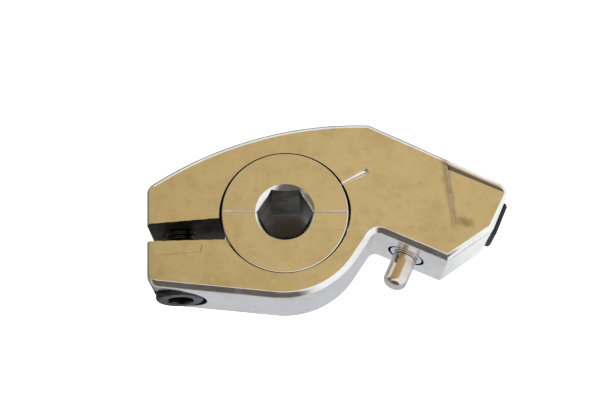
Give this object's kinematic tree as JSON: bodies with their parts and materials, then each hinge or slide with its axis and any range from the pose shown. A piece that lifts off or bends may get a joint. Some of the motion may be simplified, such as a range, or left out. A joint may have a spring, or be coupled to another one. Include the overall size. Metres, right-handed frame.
{
  "type": "split-clamp lever arm with spring plunger",
  "caption": "Machined lever arm with a split clamp round a hexagon-bored bush, a clamp screw, a spring pin in an angled face and a rubber bumper pad at its tip.",
  "frame": {"origin": "on the bush axis, at the arm's back face", "axes": "+Z along the bush axis out of the front face, +X towards the bumper pad, +Y towards the arched top edge"},
  "size_m": [0.0746, 0.0372, 0.016],
  "materials": {
    "body_aluminium": "tumbled, warm reflections, fine scratches",
    "bush_aluminium": "fine turned face",
    "black_screw": "black oxide, oiled",
    "washer_steel": "plain spring steel",
    "insert_steel": "plain stainless",
    "sleeve_steel": "bright turned steel",
    "pin_chrome": "polished",
    "spring_steel": "bright wire",
    "pad_rubber": "moulded, matt"
  },
  "bodies": {
    "arm": {"clamp_body": "body_aluminium", "thread_insert": "insert_steel", "plunger_sleeve": "sleeve_steel", "plunger_end_plug": "sleeve_steel", "plunger_spring": "spring_steel", "bumper_pad": "pad_rubber"},
    "bush": {"hex_bush": "bush_aluminium"},
    "washer": {"lock_washer": "washer_steel"},
    "screw": {"clamp_screw": "black_screw"},
    "pin": {"plunger_pin": "pin_chrome"}
  },
  "joints": [
    {"name": "bush_turn", "type": "hinge", "parent": "arm", "child": "bush", "pos_m": [0, 0, 0], "axis": [0, 0, 1], "continuous": true},
    {"name": "screw_back_off", "type": "slide", "parent": "arm", "child": "washer", "axis": [0, -1, 0], "range_m": [0, 0.003]},
    {"name": "screw_turn", "type": "hinge", "parent": "washer", "child": "screw", "pos_m": [-0.0225, -0.0093, 0.008], "axis": [0, -1, 0], "range_deg": [0, 1080]},
    {"name": "pin_press", "type": "slide", "parent": "arm", "child": "pin", "axis": [0.4617, 0.887, 0], "range_m": [0, 0.006], "stiffness_N_per_m": 600, "springref_m": -0.008, "deforming": ["plunger_spring"]}
  ],
  "couplings": [
    {"joint": "screw_turn", "follows": "screw_back_off", "rad_per_m": 6283.2}
  ]
}
